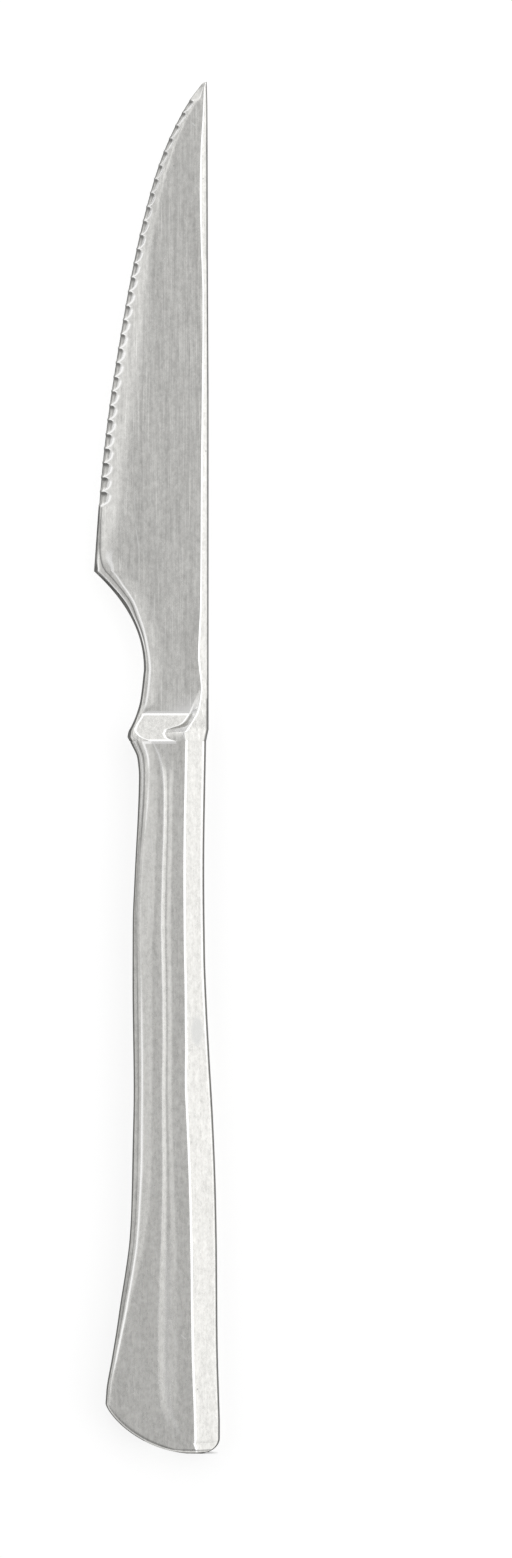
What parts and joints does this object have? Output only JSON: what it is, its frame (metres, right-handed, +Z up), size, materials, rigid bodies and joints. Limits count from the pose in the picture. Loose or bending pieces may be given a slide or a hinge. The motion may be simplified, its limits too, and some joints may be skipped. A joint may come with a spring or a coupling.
{
  "type": "steak knife",
  "caption": "All-steel steak knife with a scalloped pointed blade, a forged bolster ramp and a hollow, faceted handle that flares at the butt.",
  "frame": {"origin": "bottom centre of the bounding box, on the surface that the handle's back face rests on", "axes": "+Y along the knife towards the tip, +X towards the spine, +Z up out of the front face"},
  "size_m": [0.0206, 0.225, 0.007],
  "materials": {
    "blade_steel": "satin, fine lengthwise grinding lines",
    "handle_steel": "satin, softly tumbled, lightly worn",
    "filler_metal": "ground flush, slightly duller than the shells",
    "cement": "matt, hard-set resin cement"
  },
  "bodies": {
    "root": {"blade": "blade_steel", "handle_front_shell": "handle_steel", "handle_back_shell": "handle_steel", "handle_seam_weld": "filler_metal", "mouth_braze": "filler_metal", "tang_cement": "cement"}
  },
  "joints": []
}
